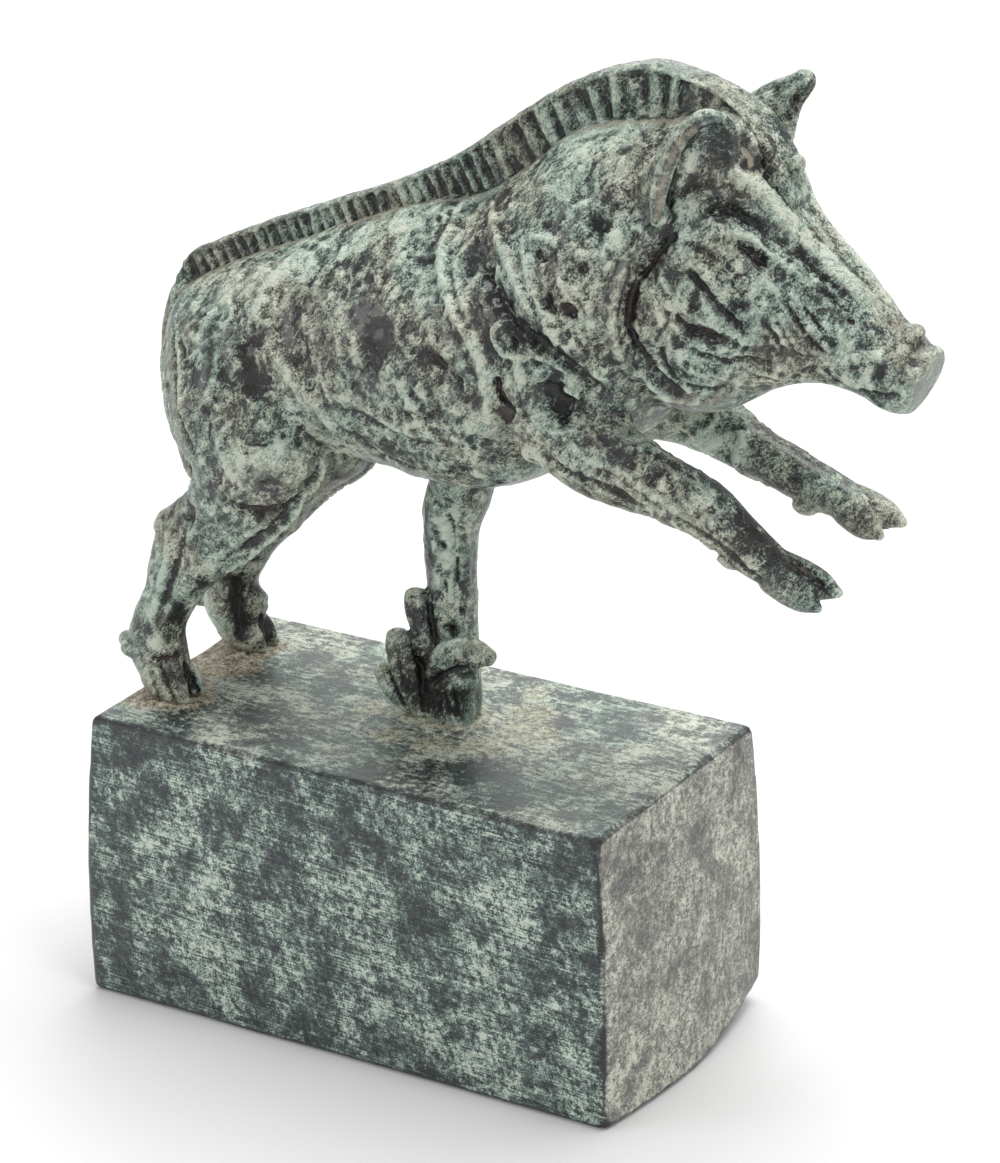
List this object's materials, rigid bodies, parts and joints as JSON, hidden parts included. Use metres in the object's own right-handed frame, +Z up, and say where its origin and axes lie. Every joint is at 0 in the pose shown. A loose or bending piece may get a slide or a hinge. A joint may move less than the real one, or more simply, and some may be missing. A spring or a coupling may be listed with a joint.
{
  "type": "bronze boar sculpture on a block plinth",
  "caption": "Cast bronze boar leaping over a stump with a leaf tuft, with a ribbed crest along its back, on a rectangular block plinth.",
  "frame": {"origin": "centre of the plinth's flat underside", "axes": "+X the way the boar faces, along the plinth's length; +Y the boar's left; +Z up"},
  "size_m": [0.1793, 0.0675, 0.2101],
  "materials": {
    "boar_bronze": "dark brown-black cast bronze with pale green patina and tan dust in the hollows, satin",
    "plinth_bronze": "dark slate bronze brushed with pale blue-green patina, tan deposits round the feet, satin"
  },
  "bodies": {
    "root": {"boar": "boar_bronze", "plinth": "plinth_bronze"}
  },
  "joints": []
}
